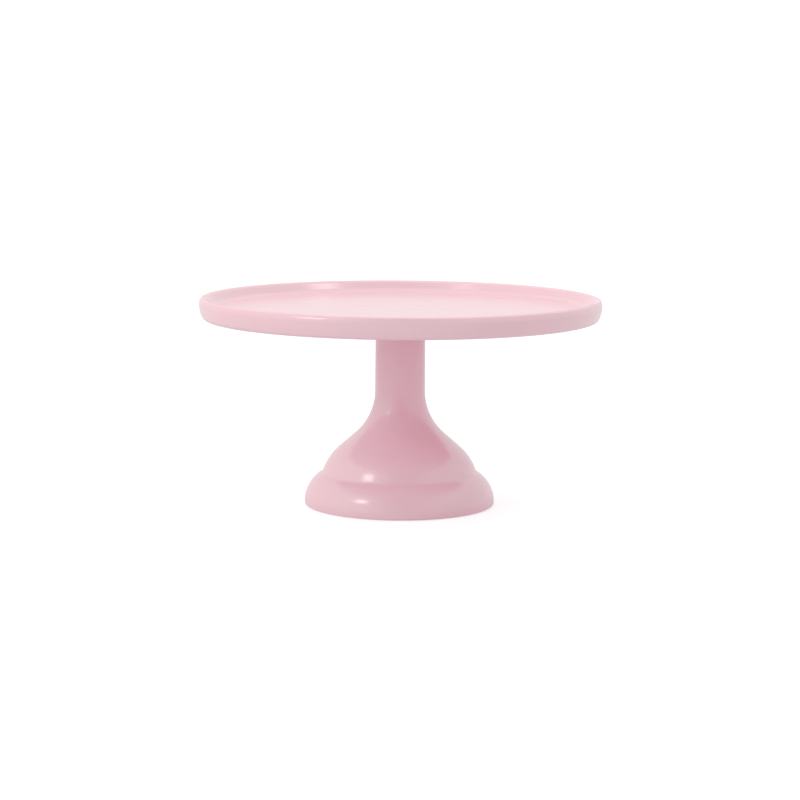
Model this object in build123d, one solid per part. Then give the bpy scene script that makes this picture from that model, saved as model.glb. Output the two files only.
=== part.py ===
from build123d import *
import math
import os

# A cake stand moulded in melamine: a round plate that screws onto a hollow, bell-shaped pedestal.
# Every piece is turned about the Z axis. The stand rests on the plane z = 0 and its plate faces +Z.
# Lengths are in millimetres and angles in degrees. Outlines are drawn as (radius, height).

# Overall size
stand_height = 156.0
plate_radius = 150.0
foot_radius = 71.3
neck_radius = 18.8
wall = 4.0

# Plate: a shallow well with sloping sides inside a rounded lip, over a side that curves in underneath to a low skirt
well_depth = 7.5
floor_thickness = 4.5
well_slope = 48.0
well_corner_radius = 5.5
lip_turn = 33.0
lip_shoulder_radius = 6.7
lip_crest_radius = 1.6
lip_inner_radius = 4.5
side_turn = 23.0
side_radius = 23.0
skirt_edge_radius = 4.2
skirt_inner_radius = 143.2
skirt_inner_round = 1.0
skirt_corner_radius = 2.5
boss_root_radius = 23.0
boss_foot_radius = 18.6
boss_fillet_radius = 2.5
edge_round = 0.8

# Pedestal, from the neck down: straight neck, hollow flare, straight flank, full bell, waist, round foot
neck_top_radius = 18.6
neck_straight_foot = 86.0
flare_radius = 42.5
flank_angle = 48.7
flank_length = 17.0
waist_radius = 58.1
waist_height = 24.3
waist_fillet_radius = 4.0
foot_belly_height = 2.6
foot_edge_radius = 1.2
foot_rim_width = 7.5
cavity_waist_radius = 53.8
web_thickness = 14.0
web_corner_radius = 5.0

# Screw joint: an M8 stud fixed in the pedestal, and brass inserts moulded into both halves
gasket_thickness = 1.5
gasket_inner_radius = 8.0
gasket_outer_radius = 17.0
insert_radius = 6.5
insert_groove_radius = 5.6
insert_groove_width = 2.4
insert_bore_radius = 4.0
insert_chamfer = 0.5
pedestal_insert_length = 12.0
plate_insert_length = 7.0
stud_radius = 3.95
stud_reach = 6.4
stud_chamfer = 1.0
stud_socket_flats = 4.0
stud_socket_depth = 4.0

# Non-slip ring, set in a groove under the foot
ring_proud = 0.4
ring_height = 2.4
ring_width = 3.4
ring_centre_radius = 66.9
ring_edge_round = 0.5

# Heights that follow from the sizes above
well_floor = stand_height - well_depth
floor_underside = well_floor - floor_thickness
lip_rise = (lip_shoulder_radius - lip_crest_radius) * math.sin(math.radians(lip_turn)) + lip_crest_radius
lip_base = stand_height - lip_rise
side_drop = (side_radius - skirt_edge_radius) * math.sin(math.radians(side_turn))
skirt_base = lip_base - side_drop - skirt_edge_radius
neck_top = skirt_base - gasket_thickness
web_underside = neck_top - web_thickness
foot_underside = ring_proud
foot_belly = (foot_radius, foot_belly_height)
foot_rim_inner_radius = foot_radius - foot_rim_width
past_the_end = 1.0


def turned(outline):
    """The solid that a closed outline of edges sweeps when it turns once about Z."""
    face = make_face(Plane.XZ * (Curve() + outline))
    return revolve(face, axis=Axis.Z)


def ring_solid(inner_radius, outer_radius, bottom, top):
    """A plain ring of rectangular section."""
    height = top - bottom
    at_bottom = Pos(0, 0, bottom)
    solid = at_bottom * Cylinder(outer_radius, height, align=(Align.CENTER, Align.CENTER, Align.MIN))
    if inner_radius > 0:
        solid -= at_bottom * Cylinder(inner_radius, height, align=(Align.CENTER, Align.CENTER, Align.MIN))
    return solid


def insert_body(bottom, length):
    """The outer shape of a threaded insert, with one retaining groove round its middle."""
    groove_bottom = bottom + (length - insert_groove_width) / 2
    groove_top = groove_bottom + insert_groove_width
    body = ring_solid(0, insert_radius, bottom, bottom + length)
    return body - ring_solid(insert_groove_radius, insert_radius + past_the_end, groove_bottom, groove_top)


def threaded_insert(bottom, length):
    """A brass insert, bored through, with its bore chamfered at both ends."""
    insert = insert_body(bottom, length) - ring_solid(0, insert_bore_radius, bottom, bottom + length)
    circles = insert.edges().filter_by(GeomType.CIRCLE)
    mouths = circles.filter_by(lambda edge: edge.radius < insert_groove_radius)
    return chamfer(mouths, insert_chamfer)


def plate():
    """The melamine plate, with the boss beneath it that takes the brass insert."""
    lip_shoulder = JernArc((plate_radius, lip_base), (0, 1), lip_shoulder_radius, lip_turn)
    lip_crest = JernArc(lip_shoulder @ 1, lip_shoulder % 1, lip_crest_radius, 90 - lip_turn)
    lip_inside = JernArc(lip_crest @ 1, (-1, 0), lip_inner_radius, well_slope)
    slope_run = ((lip_inside @ 1).Y - well_floor) / math.tan(math.radians(well_slope))
    well = FilletPolyline(
        lip_inside @ 1,
        ((lip_inside @ 1).X - slope_run, well_floor),
        (0, well_floor),
        radius=well_corner_radius,
    )
    side = JernArc((plate_radius, lip_base), (0, -1), side_radius, -side_turn)
    skirt_edge = JernArc(side @ 1, side % 1, skirt_edge_radius, side_turn - 90)
    underside = FilletPolyline(
        skirt_edge @ 1,
        (skirt_inner_radius, skirt_base),
        (skirt_inner_radius, floor_underside),
        (boss_root_radius, floor_underside),
        (boss_foot_radius, skirt_base),
        (0, skirt_base),
        radius=[skirt_inner_round, skirt_corner_radius, boss_fillet_radius, edge_round],
    )
    axis_line = Line(underside @ 1, well @ 1)
    body = turned([lip_shoulder, lip_crest, lip_inside, well, side, skirt_edge, underside, axis_line])
    return body - insert_body(skirt_base, plate_insert_length)


def pedestal_outside():
    """The pedestal as a full solid, before it is hollowed."""
    neck = Line((neck_top_radius, neck_top), (neck_radius, neck_straight_foot))
    flare = JernArc(neck @ 1, (0, -1), flare_radius, flank_angle)
    flank = Line(flare @ 1, flare @ 1 + (flare % 1) * flank_length)
    bell = TangentArc(flank @ 1, (waist_radius, waist_height), tangent=flank % 1)
    belly = TangentArc(foot_belly, (waist_radius, waist_height), tangent=(0, 1))
    base = FilletPolyline(
        foot_belly,
        (foot_radius, foot_underside),
        (0, foot_underside),
        radius=foot_edge_radius,
    )
    axis_line = Line((0, foot_underside), (0, neck_top))
    land = Line((0, neck_top), (neck_top_radius, neck_top))
    body = turned([neck, flare, flank, bell, belly, base, axis_line, land])
    circles = body.edges().filter_by(GeomType.CIRCLE)
    waist = circles.sort_by_distance((waist_radius, 0, waist_height))[0]
    body = fillet(waist, waist_fillet_radius)
    neck_rim = body.edges().filter_by(GeomType.CIRCLE).sort_by(Axis.Z)[-1]
    return fillet(neck_rim, edge_round)


def pedestal_cavity():
    """The hollow inside the pedestal, one wall in from its outside and open at the foot."""
    bore_radius = neck_radius - wall
    neck = FilletPolyline(
        (0, web_underside),
        (bore_radius, web_underside),
        (bore_radius, neck_straight_foot),
        radius=web_corner_radius,
    )
    flare = JernArc(neck @ 1, (0, -1), flare_radius + wall, flank_angle)
    flank = Line(flare @ 1, flare @ 1 + (flare % 1) * flank_length)
    bell = TangentArc(flank @ 1, (cavity_waist_radius, waist_height), tangent=flank % 1)
    foot_mouth = (foot_rim_inner_radius, foot_belly_height)
    belly = TangentArc(foot_mouth, (cavity_waist_radius, waist_height), tangent=(0, 1))
    mouth = Polyline(
        foot_mouth,
        (foot_rim_inner_radius, foot_underside - past_the_end),
        (0, foot_underside - past_the_end),
    )
    axis_line = Line(mouth @ 1, neck @ 0)
    return turned([neck, flare, flank, bell, belly, mouth, axis_line])


def ring_groove():
    """The groove under the foot that the non-slip ring fills."""
    half_width = ring_width / 2
    inner = ring_centre_radius - half_width
    outer = ring_centre_radius + half_width
    return ring_solid(inner, outer, foot_underside - past_the_end, ring_height)


def pedestal():
    """The hollow melamine pedestal, with a solid web at its top that takes the brass insert."""
    body = pedestal_outside() - pedestal_cavity() - ring_groove()
    return body - insert_body(neck_top - pedestal_insert_length, pedestal_insert_length)


def joining_stud():
    """A headless M8 stud with a hexagon socket in its upper end."""
    bottom = neck_top - pedestal_insert_length
    top = skirt_base + stud_reach
    stud = chamfer(ring_solid(0, stud_radius, bottom, top).edges(), stud_chamfer)
    hexagon = RegularPolygon(stud_socket_flats / 2, 6, major_radius=False)
    return stud - Pos(0, 0, top - stud_socket_depth) * extrude(hexagon, stud_socket_depth)


def seat_gasket():
    """The flat ring that cushions the plate's boss on the top of the neck."""
    return ring_solid(gasket_inner_radius, gasket_outer_radius, neck_top, skirt_base)


def non_slip_ring():
    """The ring that stands proud of the foot's groove and rests on the table."""
    half_width = ring_width / 2
    ring = ring_solid(ring_centre_radius - half_width, ring_centre_radius + half_width, 0, ring_height)
    return fillet(ring.edges().group_by(Axis.Z)[0], ring_edge_round)


pieces = {
    "plate": plate(),
    "plate_insert": threaded_insert(skirt_base, plate_insert_length),
    "seat_gasket": seat_gasket(),
    "joining_stud": joining_stud(),
    "pedestal": pedestal(),
    "pedestal_insert": threaded_insert(neck_top - pedestal_insert_length, pedestal_insert_length),
    "non_slip_ring": non_slip_ring(),
}

os.makedirs("parts", exist_ok=True)
for name, piece in pieces.items():
    export_step(piece, f"parts/{name}.step")
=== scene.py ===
import math

import bpy
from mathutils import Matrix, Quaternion, Vector


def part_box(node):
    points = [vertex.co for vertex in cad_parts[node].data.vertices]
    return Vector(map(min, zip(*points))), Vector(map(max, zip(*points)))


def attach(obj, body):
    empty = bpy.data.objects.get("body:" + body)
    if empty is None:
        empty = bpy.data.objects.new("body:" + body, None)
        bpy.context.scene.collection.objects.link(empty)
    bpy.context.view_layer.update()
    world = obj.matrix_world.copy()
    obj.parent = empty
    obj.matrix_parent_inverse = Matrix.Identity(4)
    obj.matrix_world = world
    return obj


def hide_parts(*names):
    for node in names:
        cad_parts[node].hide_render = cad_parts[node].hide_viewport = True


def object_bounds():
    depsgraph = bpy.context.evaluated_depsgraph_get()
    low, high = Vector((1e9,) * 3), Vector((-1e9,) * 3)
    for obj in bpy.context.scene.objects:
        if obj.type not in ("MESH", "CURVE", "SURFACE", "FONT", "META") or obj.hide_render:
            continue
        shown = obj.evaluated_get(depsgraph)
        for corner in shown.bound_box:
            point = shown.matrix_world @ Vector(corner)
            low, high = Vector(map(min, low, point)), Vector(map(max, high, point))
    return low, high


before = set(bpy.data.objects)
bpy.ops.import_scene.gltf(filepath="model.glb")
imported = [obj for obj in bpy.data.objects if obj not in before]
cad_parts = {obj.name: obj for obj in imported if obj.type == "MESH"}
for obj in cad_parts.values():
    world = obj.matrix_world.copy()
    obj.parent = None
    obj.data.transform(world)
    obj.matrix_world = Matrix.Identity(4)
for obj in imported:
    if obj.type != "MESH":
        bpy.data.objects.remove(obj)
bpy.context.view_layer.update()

# The stand turns about the Z axis and rests on z = 0. Lengths are in metres.
STAND_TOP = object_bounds()[1].z
MM = 0.001

# Camera: in front of the stand, a little above its plate
CAMERA_DISTANCE = 1.617
CAMERA_HEIGHT = 0.3074
CAMERA_AIM_HEIGHT = 0.0786
CAMERA_ROLL = 0.4
CAMERA_LENS = 97.9
SENSOR_WIDTH = 36.0

# Thread of the screw joint: M8 x 1.25, right-handed, with a little play between stud and inserts
PITCH = 1.25 * MM
CREST_WIDTH = PITCH / 8
FLANK_WIDTH = 0.354 * PITCH
THREAD_DEPTH = 0.76 * MM
THREAD_PLAY = 0.08 * MM
BORE_RADIUS = 3.4 * MM
RING_STEPS = 72
RING_HEIGHT = PITCH / 12

# Moulding: where its colour and surface change
PINK_DEEP = (0.74, 0.41, 0.47)
PINK_PALE = (0.76, 0.43, 0.49)
PINK_CORE = (0.735, 0.415, 0.475)
WELL_FLOOR = 148.5 * MM
RIM_SEAM = 151.6 * MM
FOOT_SEAM = 2.6 * MM
SEAM_WIDTH = 0.15 * MM
TOOL_MARKS = math.tau / (0.12 * MM)

# Studio. Azimuth 0 is in front of the stand, and positive goes to the right of the picture.
# The walls have one level of light, and soft patches on them as (azimuth, elevation, sharpness, level).
WALL_LEVEL = 1.0
WALL_PATCHES = (
    (-60.0, 22.0, 2.0, 0.9),
    (75.0, 15.0, 2.0, 0.3),
    (180.0, 8.0, 2.0, 0.15),
    (0.0, 90.0, 2.0, 0.85),
    (0.0, 3.0, 8.0, -0.35),
    (0.0, 32.0, 8.0, -0.7),
    (0.0, 62.0, 8.0, -1.6),
)

# Lamps as (azimuth, elevation, distance, width, height, power)
LAMPS = {
    "key_left": (-52.0, 31.0, 1.6, 0.4, 0.28, 4.6),
    "overhead_right": (102.0, 67.0, 1.45, 0.55, 0.18, 2.6),
    "overhead_left": (-96.0, 71.0, 1.45, 0.14, 0.14, 0.4),
}

# The floor's grey and glow light the stand. Only the camera sees the backdrop and the floor's extra glow.
FLOOR_SIZE = 60.0
FLOOR_GREY = 0.5
FLOOR_GLOW = 0.3
FLOOR_EXTRA_GLOW = 0.5
BACKDROP = 1.4

# Exposure: pairs of a level of light and how much of it is shown, easing off towards white at the last pair
RESPONSE = ((0.0, 0.0), (0.3, 0.3), (0.5, 0.5), (0.9, 0.75), (1.27, 1.0))


# ---------------------------------------------------------------- node helpers

def new_material(name):
    """An empty node material and its Principled shader."""
    material = bpy.data.materials.new(name)
    material.use_nodes = True
    return material, material.node_tree, material.node_tree.nodes["Principled BSDF"]


def add_node(tree, kind, **values):
    """A node of that kind. Values name its properties, or its input sockets with _ for a space."""
    node = tree.nodes.new(kind)
    for name, value in values.items():
        if hasattr(node, name):
            setattr(node, name, value)
        else:
            node.inputs[name.replace("_", " ")].default_value = value
    return node


def object_position(tree):
    """The point's place in the stand's own frame."""
    return add_node(tree, "ShaderNodeTexCoord").outputs["Object"]


def separate(tree, position):
    """The X, Y and Z of a position."""
    node = add_node(tree, "ShaderNodeSeparateXYZ")
    tree.links.new(position, node.inputs["Vector"])
    return node.outputs["X"], node.outputs["Y"], node.outputs["Z"]


def math_node(tree, operation, first, second=None, third=None):
    """first, second and third may each be a socket or a number."""
    node = add_node(tree, "ShaderNodeMath", operation=operation)
    for socket, value in zip(node.inputs, (first, second, third)):
        if isinstance(value, bpy.types.NodeSocket):
            tree.links.new(value, socket)
        elif value is not None:
            socket.default_value = value
    return node.outputs["Value"]


def noise(tree, position, scale, detail=3.0, roughness=0.55):
    """Fractal noise from about 0.3 to 0.7."""
    node = add_node(tree, "ShaderNodeTexNoise", Scale=scale, Detail=detail, Roughness=roughness)
    tree.links.new(position, node.inputs["Vector"])
    return node.outputs["Fac"]


def remapped(tree, value, low, high, to_low, to_high):
    """value moved from the range low..high to the range to_low..to_high, and clamped."""
    node = add_node(tree, "ShaderNodeMapRange")
    node.inputs["From Min"].default_value = low
    node.inputs["From Max"].default_value = high
    node.inputs["To Min"].default_value = to_low
    node.inputs["To Max"].default_value = to_high
    tree.links.new(value, node.inputs["Value"])
    return node.outputs["Result"]


def clouds(tree, position, scale, detail=3.0):
    """Soft patches that run from 0 to 1."""
    return remapped(tree, noise(tree, position, scale, detail), 0.3, 0.7, 0.0, 1.0)


def mixed(tree, factor, first, second):
    """A colour between two colours. Each may be a socket or a triple."""
    node = add_node(tree, "ShaderNodeMix", data_type="RGBA")
    for name, colour in (("A", first), ("B", second)):
        socket = [s for s in node.inputs if s.name == name and s.type == "RGBA"][0]
        if isinstance(colour, bpy.types.NodeSocket):
            tree.links.new(colour, socket)
        else:
            socket.default_value = (*colour, 1)
    tree.links.new(factor, node.inputs[0])
    return [s for s in node.outputs if s.type == "RGBA"][0]


def bump(tree, shader, height, distance):
    """Relief on a shader's surface, as deep as distance where height goes from 0 to 1."""
    node = add_node(tree, "ShaderNodeBump", Strength=1.0, Distance=distance)
    tree.links.new(height, node.inputs["Height"])
    tree.links.new(node.outputs["Normal"], shader.inputs["Normal"])


# ---------------------------------------------------------------- materials

def inner_face(tree, position):
    """1 on faces that look down or in towards the axis, which the mould's core shaped, and 0 elsewhere."""
    normal_x, normal_y, normal_z = separate(tree, add_node(tree, "ShaderNodeTexCoord").outputs["Normal"])
    x, y, _ = separate(tree, position)
    outward = math_node(tree, "MULTIPLY_ADD", normal_x, x, math_node(tree, "MULTIPLY", normal_y, y))
    faces_in = remapped(tree, outward, -0.2 * MM, -2.0 * MM, 0.0, 1.0)
    faces_down = remapped(tree, normal_z, -0.35, -0.6, 0.0, 1.0)
    not_up = remapped(tree, normal_z, 0.2, 0.4, 1.0, 0.0)
    return math_node(tree, "MAXIMUM", faces_down, math_node(tree, "MULTIPLY", faces_in, not_up))


def hairlines(tree, position, turn, scale):
    """Short, thin marks that all run one way."""
    spun = add_node(tree, "ShaderNodeMapping")
    spun.inputs["Rotation"].default_value = (0, 0, turn)
    spun.inputs["Scale"].default_value = (scale, scale / 30, scale)
    tree.links.new(position, spun.inputs["Vector"])
    lines = noise(tree, spun.outputs["Vector"], 1.0, 1.0)
    return remapped(tree, lines, 0.74, 0.78, 0.0, 1.0)


def seam_ridge(tree, height, seam):
    """A fine ridge round the stand, left where the halves of the mould met."""
    away = math_node(tree, "ABSOLUTE", math_node(tree, "SUBTRACT", height, seam))
    return remapped(tree, away, 0.0, SEAM_WIDTH, 0.8, 0.0)


def knife_marks(tree, position, height):
    """Faint hairlines that run three ways across the floor of the well."""
    marks = 0.0
    for turn, scale in ((0.4, 900.0), (1.9, 1100.0), (2.9, 800.0)):
        marks = math_node(tree, "MAXIMUM", hairlines(tree, position, turn, scale), marks)
    in_well = math_node(tree, "COMPARE", height, WELL_FLOOR, 0.4 * MM)
    return math_node(tree, "MULTIPLY", marks, in_well)


def melamine():
    """Moulded melamine, pale pink right through: glossy outside, and satin where the core shaped it."""
    material, tree, shader = new_material("melamine_pink")
    position = object_position(tree)
    _, _, height = separate(tree, position)
    inside = inner_face(tree, position)

    grain = clouds(tree, position, 420.0, 2.0)
    tint = math_node(tree, "MULTIPLY", clouds(tree, position, 11.0, 4.0), 0.7)
    tint = math_node(tree, "MULTIPLY_ADD", grain, 0.3, tint)
    outside_colour = mixed(tree, tint, PINK_DEEP, PINK_PALE)
    colour = mixed(tree, math_node(tree, "MULTIPLY", inside, 0.5), outside_colour, PINK_CORE)
    tree.links.new(colour, shader.inputs["Base Color"])

    wear = knife_marks(tree, position, height)
    rough = remapped(tree, noise(tree, position, 55.0), 0.3, 0.7, 0.15, 0.20)
    rough = math_node(tree, "MULTIPLY_ADD", inside, 0.16, rough)
    rough = math_node(tree, "MULTIPLY_ADD", wear, 0.05, rough)
    tree.links.new(rough, shader.inputs["Roughness"])
    shader.inputs["IOR"].default_value = 1.5

    ripple = noise(tree, position, 140.0, 1.0)
    surface = math_node(tree, "MULTIPLY_ADD", noise(tree, position, 900.0, 2.0), 0.2, ripple)
    flow = math_node(tree, "MULTIPLY", noise(tree, position, 260.0, 3.0), inside)
    surface = math_node(tree, "MULTIPLY_ADD", flow, 1.5, surface)
    for seam in (RIM_SEAM, FOOT_SEAM):
        surface = math_node(tree, "ADD", surface, seam_ridge(tree, height, seam))
    surface = math_node(tree, "MULTIPLY_ADD", wear, -0.08, surface)
    bump(tree, shader, surface, 0.008 * MM)
    return material


def silicone():
    """Moulded silicone rubber: milky, soft-looking, with a fine spark-eroded texture and a little dust."""
    material, tree, shader = new_material("silicone_white")
    position = object_position(tree)
    cloud = clouds(tree, position, 90.0)
    dust = remapped(tree, noise(tree, position, 1500.0, 2.0), 0.60, 0.72, 0.0, 0.35)
    milk = mixed(tree, cloud, (0.74, 0.72, 0.70), (0.80, 0.785, 0.765))
    tree.links.new(mixed(tree, dust, milk, (0.60, 0.57, 0.53)), shader.inputs["Base Color"])
    rough = math_node(tree, "MULTIPLY_ADD", dust, 0.3, remapped(tree, cloud, 0.0, 1.0, 0.46, 0.56))
    tree.links.new(rough, shader.inputs["Roughness"])
    shader.inputs["IOR"].default_value = 1.41
    shader.inputs["Sheen Weight"].default_value = 0.15
    bump(tree, shader, noise(tree, position, 3000.0, 3.0), 0.02 * MM)
    return material


def turned_metal(name, bright, dull, rough_low, rough_high):
    """Turned metal: tool marks round the axis, uneven polish, and duller spots of oxide."""
    material, tree, shader = new_material(name)
    position = object_position(tree)
    _, _, height = separate(tree, position)
    cloud = remapped(tree, noise(tree, position, 450.0, 4.0), 0.35, 0.65, 0.0, 1.0)
    spots = remapped(tree, noise(tree, position, 2200.0, 2.0), 0.62, 0.70, 0.0, 0.6)
    tarnish = math_node(tree, "MAXIMUM", math_node(tree, "MULTIPLY", cloud, 0.6), spots)
    tree.links.new(mixed(tree, tarnish, bright, dull), shader.inputs["Base Color"])
    tree.links.new(remapped(tree, tarnish, 0.0, 1.0, rough_low, rough_high), shader.inputs["Roughness"])
    shader.inputs["Metallic"].default_value = 1.0
    rings = math_node(tree, "SINE", math_node(tree, "MULTIPLY", height, TOOL_MARKS))
    marks = math_node(tree, "MULTIPLY_ADD", noise(tree, position, 5000.0, 2.0), 0.8, rings)
    bump(tree, shader, marks, 0.003 * MM)
    return material


def dress(node, material):
    """Gives a CAD node's own mesh a better material."""
    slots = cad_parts[node].data.materials
    for index in range(len(slots)):
        slots[index] = material


# ---------------------------------------------------------------- threaded pieces

def thread_depth_at(turn, height):
    """How far the surface lies below the thread's crest, at an angle in turns and a height."""
    along = abs((height / PITCH - turn + 0.5) % 1.0 - 0.5) * PITCH
    return min(max(along - CREST_WIDTH / 2, 0.0) / FLANK_WIDTH, 1.0) * THREAD_DEPTH


def turned_piece(name, rings, closed):
    """A mesh through rings of points. A ring is a function from an angle in turns to (radius, height)."""
    points = []
    for ring in rings:
        for step in range(RING_STEPS):
            turn = step / RING_STEPS
            radius, height = ring(turn)
            angle = math.tau * turn
            points.append((radius * math.cos(angle), radius * math.sin(angle), height))
    faces = []
    ring_count = len(rings)
    for index in range(ring_count if closed else ring_count - 1):
        lower, upper = index * RING_STEPS, (index + 1) % ring_count * RING_STEPS
        for step in range(RING_STEPS):
            after = (step + 1) % RING_STEPS
            faces.append((lower + step, lower + after, upper + after, upper + step))
    if not closed:
        for ring, last in ((0, False), (ring_count - 1, True)):
            centre = len(points)
            points.append((0, 0, rings[ring](0)[1]))
            start = ring * RING_STEPS
            for step in range(RING_STEPS):
                after = (step + 1) % RING_STEPS
                pair = (start + step, start + after) if last else (start + after, start + step)
                faces.append((*pair, centre))
    mesh = bpy.data.meshes.new(name)
    mesh.from_pydata(points, [], faces)
    mesh.validate()
    mesh.shade_smooth()
    mesh.set_sharp_from_angle(angle=math.radians(32))
    piece = bpy.data.objects.new(name, mesh)
    bpy.context.scene.collection.objects.link(piece)
    return piece


def heights(low, high):
    """Evenly spaced heights from low to high, both included."""
    count = math.ceil((high - low) / RING_HEIGHT)
    return [low + (high - low) * index / count for index in range(count + 1)]


def joining_stud():
    """A headless M8 stud: threaded from end to end, chamfered, with a hexagon socket in its upper end."""
    low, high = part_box("joining_stud")
    crest = high.x
    chamfer = 1.0 * MM
    half_flats = 2.0 * MM
    socket_depth = 4.0 * MM
    drill_point = 0.9 * MM

    def thread(height):
        cone = crest - chamfer + min(height - low.z, high.z - height)
        return lambda turn: (min(crest - thread_depth_at(turn, height), cone), height)

    def hexagon(height, scale=1.0):
        def ring(turn):
            from_flat = (turn * math.tau) % (math.pi / 3) - math.pi / 6
            return (scale * half_flats / math.cos(from_flat), height)
        return ring

    socket_floor = high.z - socket_depth
    rings = [thread(height) for height in heights(low.z, high.z)]
    rings += [hexagon(high.z, 1.08), hexagon(high.z - 0.15 * MM), hexagon(socket_floor)]
    rings += [lambda turn: (0.2 * MM, socket_floor - drill_point)]
    return turned_piece("stud_threaded", rings, closed=False)


def threaded_insert(node):
    """A brass insert: knurled outside either side of its groove, and threaded through its bore."""
    low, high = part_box(node)
    outside = high.x
    knurl_depth = 0.28 * MM
    groove_radius = 5.6 * MM
    groove_half = 1.2 * MM
    edge = 0.35 * MM
    mouth_radius = 4.5 * MM
    stud_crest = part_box("joining_stud")[1].x
    middle = (low.z + high.z) / 2

    def knurl(height, sunk=0.0):
        def ring(turn):
            tooth = round(turn * RING_STEPS) % 2
            return (outside - sunk - knurl_depth * tooth * (sunk == 0.0), height)
        return ring

    def plain(radius, height):
        return lambda turn: (radius, height)

    def bore(height):
        cone = mouth_radius - min(height - low.z, high.z - height)
        def ring(turn):
            fit = stud_crest + THREAD_PLAY - thread_depth_at(turn, height)
            return (max(fit, BORE_RADIUS, cone), height)
        return ring

    rings = [knurl(low.z, edge), knurl(low.z + edge), knurl(middle - groove_half)]
    rings += [plain(groove_radius, middle - groove_half), plain(groove_radius, middle + groove_half)]
    rings += [knurl(middle + groove_half), knurl(high.z - edge), knurl(high.z, edge)]
    rings += [bore(height) for height in reversed(heights(low.z, high.z))]
    return turned_piece(node + "_threaded", rings, closed=True)


def stand_in(piece, node, body, material):
    """Puts a detailed piece in a CAD node's place."""
    piece.data.materials.append(material)
    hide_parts(node)
    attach(piece, body)


# ---------------------------------------------------------------- studio

def floor():
    """A light table: it glows a little on the stand, and is white in the picture."""
    mesh = bpy.data.meshes.new("studio_floor")
    half = FLOOR_SIZE / 2
    corners = [(-half, -half, 0), (half, -half, 0), (half, half, 0), (-half, half, 0)]
    mesh.from_pydata(corners, [], [(0, 1, 2, 3)])
    plane = bpy.data.objects.new("studio_floor", mesh)
    bpy.context.scene.collection.objects.link(plane)
    material, tree, shader = new_material("studio_floor_white")
    shader.inputs["Base Color"].default_value = (FLOOR_GREY, FLOOR_GREY, FLOOR_GREY, 1)
    shader.inputs["Roughness"].default_value = 0.9
    shader.inputs["Emission Color"].default_value = (1, 1, 1, 1)
    seen = add_node(tree, "ShaderNodeLightPath").outputs["Is Camera Ray"]
    extra = math_node(tree, "MULTIPLY", seen, FLOOR_EXTRA_GLOW)
    glow = math_node(tree, "ADD", extra, FLOOR_GLOW)
    tree.links.new(glow, shader.inputs["Emission Strength"])
    mesh.materials.append(material)


def direction(azimuth, elevation):
    """A unit vector from the stand towards an azimuth and elevation."""
    turn, rise = math.radians(azimuth), math.radians(elevation)
    return Vector((math.sin(turn) * math.cos(rise), -math.cos(turn) * math.cos(rise), math.sin(rise)))


def soft_box(name, azimuth, elevation, distance, width, height, power):
    """A rectangular lamp, aimed at the middle of the stand."""
    data = bpy.data.lights.new(name, "AREA")
    data.shape = "RECTANGLE"
    data.size = width
    data.size_y = height
    data.energy = power
    lamp = bpy.data.objects.new(name, data)
    bpy.context.scene.collection.objects.link(lamp)
    way = direction(azimuth, elevation)
    lamp.location = Vector((0, 0, STAND_TOP / 2)) + way * distance
    lamp.rotation_mode = "QUATERNION"
    lamp.rotation_quaternion = (-way).to_track_quat("-Z", "Y")


def soft_patch(tree, way, azimuth, elevation, sharpness, level):
    """A wide, soft-edged patch of light or shade on the studio's walls."""
    centre = add_node(tree, "ShaderNodeVectorMath", operation="DOT_PRODUCT")
    tree.links.new(way, centre.inputs[0])
    centre.inputs[1].default_value = direction(azimuth, elevation)
    nearness = math_node(tree, "MAXIMUM", centre.outputs["Value"], 0.0)
    return math_node(tree, "MULTIPLY", math_node(tree, "POWER", nearness, sharpness), level)


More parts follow.
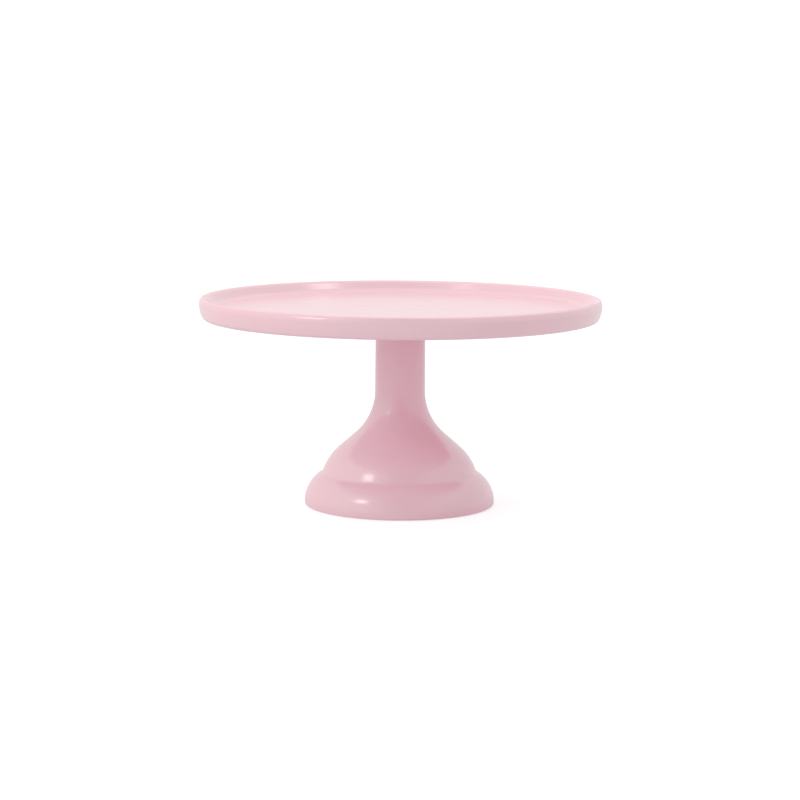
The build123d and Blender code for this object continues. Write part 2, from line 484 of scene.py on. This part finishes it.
def surroundings():
    """White walls all round, with soft patches of light and shade, and plain white in the picture."""
    world = bpy.data.worlds.new("studio_white")
    bpy.context.scene.world = world
    world.use_nodes = True
    tree = world.node_tree
    light = tree.nodes["Background"]
    way = add_node(tree, "ShaderNodeTexCoord").outputs["Generated"]
    level = WALL_LEVEL
    for patch in WALL_PATCHES:
        level = math_node(tree, "ADD", level, soft_patch(tree, way, *patch))
    level = math_node(tree, "MAXIMUM", level, 0.0)
    seen = add_node(tree, "ShaderNodeLightPath").outputs["Is Camera Ray"]
    shown = add_node(tree, "ShaderNodeMix", data_type="FLOAT")
    tree.links.new(seen, shown.inputs["Factor"])
    tree.links.new(level, shown.inputs["A"])
    shown.inputs["B"].default_value = BACKDROP
    tree.links.new(shown.outputs["Result"], light.inputs["Strength"])
    light.inputs["Color"].default_value = (1, 1, 1, 1)


def exposure():
    """A camera's response, which eases off towards white."""
    settings = bpy.context.scene.view_settings
    settings.view_transform = "Standard"
    settings.use_curve_mapping = True
    mapping = settings.curve_mapping
    white = RESPONSE[-1][0]
    mapping.white_level = (white, white, white)
    combined = mapping.curves[3]
    for level, shown in RESPONSE[1:-1]:
        combined.points.new(level / white, shown)
    mapping.update()


def camera():
    data = bpy.data.cameras.new("camera")
    data.sensor_width = SENSOR_WIDTH
    data.lens = CAMERA_LENS
    shot = bpy.data.objects.new("camera", data)
    bpy.context.scene.collection.objects.link(shot)
    shot.location = (0, -CAMERA_DISTANCE, CAMERA_HEIGHT)
    view = Vector((0, 0, CAMERA_AIM_HEIGHT)) - shot.location
    shot.rotation_mode = "QUATERNION"
    roll = Quaternion((0, 0, 1), math.radians(CAMERA_ROLL))
    shot.rotation_quaternion = view.to_track_quat("-Z", "Y") @ roll
    bpy.context.scene.camera = shot


camera()
surroundings()
floor()
for name, setting in LAMPS.items():
    soft_box(name, *setting)
exposure()

pink = melamine()
rubber = silicone()
brass = turned_metal("brass", (0.86, 0.66, 0.34), (0.62, 0.43, 0.20), 0.2, 0.36)
steel = turned_metal("steel_zinc", (0.74, 0.75, 0.77), (0.55, 0.56, 0.58), 0.22, 0.38)
for node in ("plate", "pedestal"):
    dress(node, pink)
for node in ("seat_gasket", "non_slip_ring"):
    dress(node, rubber)
stand_in(threaded_insert("plate_insert"), "plate_insert", "plate", brass)
stand_in(threaded_insert("pedestal_insert"), "pedestal_insert", "pedestal", brass)
stand_in(joining_stud(), "joining_stud", "pedestal", steel)
